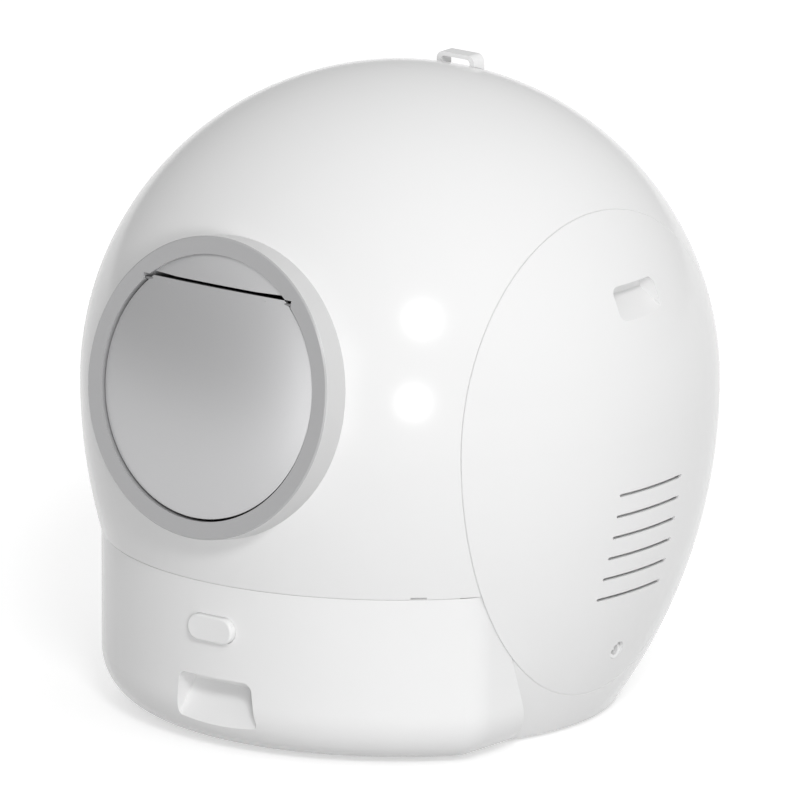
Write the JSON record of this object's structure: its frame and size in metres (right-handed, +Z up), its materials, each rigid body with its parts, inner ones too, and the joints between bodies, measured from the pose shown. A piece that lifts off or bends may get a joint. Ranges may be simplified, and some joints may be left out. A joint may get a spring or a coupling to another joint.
{
  "type": "self-cleaning litter box",
  "caption": "Egg-shaped self-cleaning litter box with a swing-flap entry ring, a motor-turned litter drum inside and a pull-out waste drawer below.",
  "frame": {"origin": "middle of the base's flat underside, straight below the centre of the head; the feet stand 3 mm lower", "axes": "+Z up, -Y out of the entry at the front, +X to the drive side"},
  "size_m": [0.58, 0.5929, 0.586],
  "materials": {
    "white_abs": "white satin-gloss moulded ABS",
    "grey_abs": "light grey satin moulded ABS",
    "frame_abs": "plain moulded ABS",
    "drum_abs": "light grey moulded ABS",
    "liner_rubber": "moulded silicone rubber",
    "sieve_abs": "moulded ABS grille",
    "acetal": "natural acetal",
    "pin_steel": "bright drawn steel",
    "motor_steel": "zinc-plated steel",
    "cell_aluminium": "milled aluminium",
    "board_laminate": "green circuit board laminate",
    "black_abs": "black moulded socket",
    "foot_rubber": "dark rubber pad",
    "bin_abs": "grey moulded polypropylene"
  },
  "bodies": {
    "housing": {"main_shell": "white_abs", "base_body": "white_abs", "waste_chute": "frame_abs", "entry_ring": "grey_abs", "entry_tunnel": "grey_abs", "flap_hinge_pin": "pin_steel", "side_frame_right": "frame_abs", "side_frame_left": "frame_abs", "side_cover_right": "white_abs", "side_cover_left": "white_abs", "power_inlet": "black_abs", "gear_motor": "motor_steel", "control_board": "board_laminate", "button_switch": "board_laminate", "carry_loop": "white_abs", "foot_pads": "foot_rubber", "load_cells": "cell_aluminium", "motor_screws": "pin_steel", "board_screws": "pin_steel", "trunnion_bush_right": "acetal", "trunnion_bush_left": "acetal", "drawer_rail_right": "acetal", "drawer_rail_left": "acetal"},
    "drum": {"drum_front": "drum_abs", "drum_rear": "drum_abs", "litter_liner": "liner_rubber", "sieve_screen": "sieve_abs", "ring_gear": "acetal", "trunnion_right": "acetal", "trunnion_left": "acetal", "trunnion_screws": "pin_steel"},
    "pinion": {"drive_pinion": "acetal"},
    "flap": {"flap_door": "grey_abs"},
    "drawer": {"drawer_front": "white_abs", "waste_bin": "bin_abs", "bag_ring": "bin_abs", "button_spring": "pin_steel"},
    "button": {"clean_button": "white_abs"}
  },
  "joints": [
    {"name": "drum_spin", "type": "hinge", "parent": "housing", "child": "drum", "pos_m": [0, 0, 0.335], "axis": [1, 0, 0], "continuous": true},
    {"name": "pinion_spin", "type": "hinge", "parent": "housing", "child": "pinion", "pos_m": [0, 0.0675, 0.21809], "axis": [1, 0, 0], "continuous": true},
    {"name": "flap_swing", "type": "hinge", "parent": "housing", "child": "flap", "pos_m": [0, -0.26002, 0.42594], "axis": [1, 0, 0], "range_deg": [-75, 25]},
    {"name": "drawer_slide", "type": "slide", "parent": "housing", "child": "drawer", "axis": [0, -1, 0], "range_m": [0, 0.3]},
    {"name": "button_press", "type": "slide", "parent": "drawer", "child": "button", "axis": [0, 1, 0], "range_m": [0, 0.0027], "stiffness_N_per_m": 400, "deforming": ["button_spring"]}
  ],
  "couplings": [
    {"joint": "pinion_spin", "follows": "drum_spin", "ratio": -5.4286}
  ]
}
